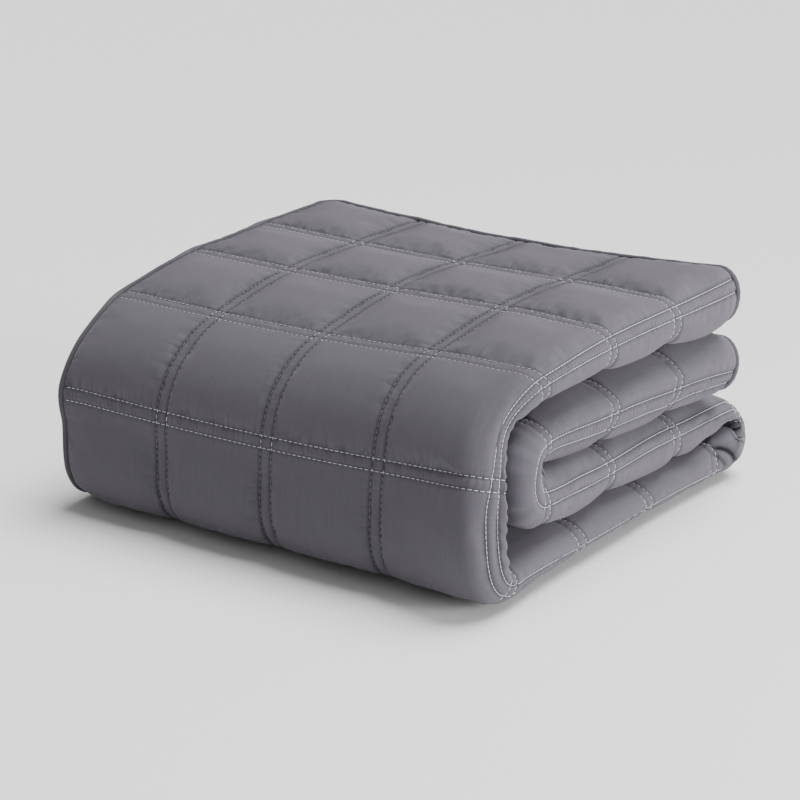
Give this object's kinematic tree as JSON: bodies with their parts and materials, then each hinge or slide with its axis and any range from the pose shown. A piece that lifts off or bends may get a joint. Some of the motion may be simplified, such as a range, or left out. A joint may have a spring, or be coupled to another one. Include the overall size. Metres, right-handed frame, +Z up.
{
  "type": "folded quilted comforter",
  "caption": "Box-quilted comforter with double stitched channels and bound edges, folded in thirds across and twice along into a flat stack.",
  "frame": {"origin": "middle of the underside, on the surface that the folded stack lies on", "axes": "+Z up through the folded layers, +X towards the rounded side crest of the fold in thirds, -Y towards the rounded front fold"},
  "size_m": [0.5318, 0.5054, 0.2338],
  "materials": {
    "shell_cloth": "matte brushed microfibre",
    "binding_cloth": "matte brushed microfibre"
  },
  "bodies": {
    "root": {"quilted_body": "shell_cloth", "edge_binding": "binding_cloth"}
  },
  "joints": []
}
